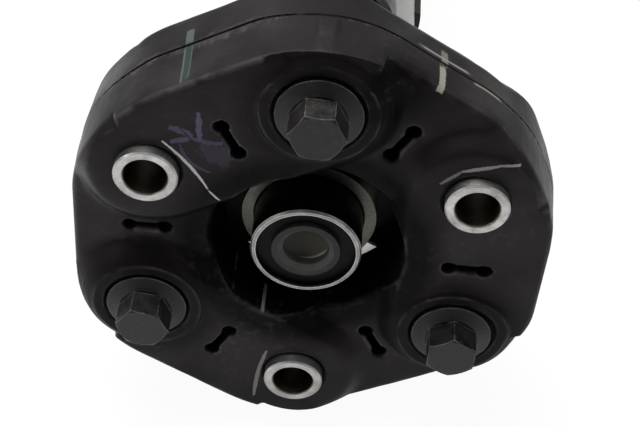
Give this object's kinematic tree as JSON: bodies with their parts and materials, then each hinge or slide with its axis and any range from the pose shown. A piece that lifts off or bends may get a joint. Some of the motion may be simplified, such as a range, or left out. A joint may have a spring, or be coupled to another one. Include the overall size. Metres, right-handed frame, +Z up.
{
  "type": "driveshaft",
  "caption": "Driveshaft with a rubber flex disc and centring sleeve at the gearbox end, a splined slip joint, and a universal joint with a companion flange at the axle end.",
  "frame": {"origin": "on the shaft axis, in the plane of the ends of the three mounting sleeves that the gearbox flange meets", "axes": "+Y along the shaft from the gearbox to the axle, +Z up through one of the shaft's coupling bolts, +X to the right seen from the gearbox"},
  "size_m": [0.1428, 0.6053, 0.1522],
  "materials": {
    "disc_rubber": "moulded, matt",
    "seal_rubber": "moulded, matt",
    "sleeve_steel": "plated, dull",
    "bolt_steel": "dark phosphate",
    "can_steel": "bright zinc plate",
    "bush_steel": "sintered, oiled",
    "cap_plastic": "olive, smooth",
    "forged_steel": "forged, painted grey",
    "tube_paint": "grey paint",
    "weight_steel": "dark, bare",
    "ground_steel": "ground",
    "spring_steel": "blued",
    "cap_steel": "zinc plate"
  },
  "bodies": {
    "shaft": {"flex_disc": "disc_rubber", "mounting_sleeves": "sleeve_steel", "shaft_sleeves": "sleeve_steel", "coupling_bolts": "bolt_steel", "coupling_nuts": "bolt_steel", "front_flange": "forged_steel", "locating_ring": "can_steel", "centring_can": "can_steel", "centring_rubber": "seal_rubber", "centring_bush": "bush_steel", "centring_cap": "cap_plastic", "shaft_tube": "tube_paint", "balance_weights": "weight_steel", "slip_sleeve": "forged_steel", "sleeve_plug": "cap_steel", "dust_cap": "cap_steel", "wiper_seal": "seal_rubber", "sleeve_nipple": "cap_steel"},
    "slip_yoke": {"slip_yoke": "forged_steel", "slip_yoke_cups": "ground_steel", "slip_yoke_seals": "seal_rubber", "slip_yoke_circlips": "spring_steel"},
    "cross": {"cross": "ground_steel", "cross_nipple": "cap_steel"},
    "flange_yoke": {"flange_yoke": "forged_steel", "flange_yoke_cups": "ground_steel", "flange_yoke_seals": "seal_rubber", "flange_yoke_circlips": "spring_steel"}
  },
  "joints": [
    {"name": "slip", "type": "slide", "parent": "shaft", "child": "slip_yoke", "axis": [0, 1, 0], "range_m": [-0.02, 0.025]},
    {"name": "cross_hinge", "type": "hinge", "parent": "slip_yoke", "child": "cross", "pos_m": [0, 0.554, 0], "axis": [0, 0, 1], "range_deg": [-20, 20]},
    {"name": "flange_hinge", "type": "hinge", "parent": "cross", "child": "flange_yoke", "pos_m": [0, 0.554, 0], "axis": [1, 0, 0], "range_deg": [-20, 20]}
  ]
}
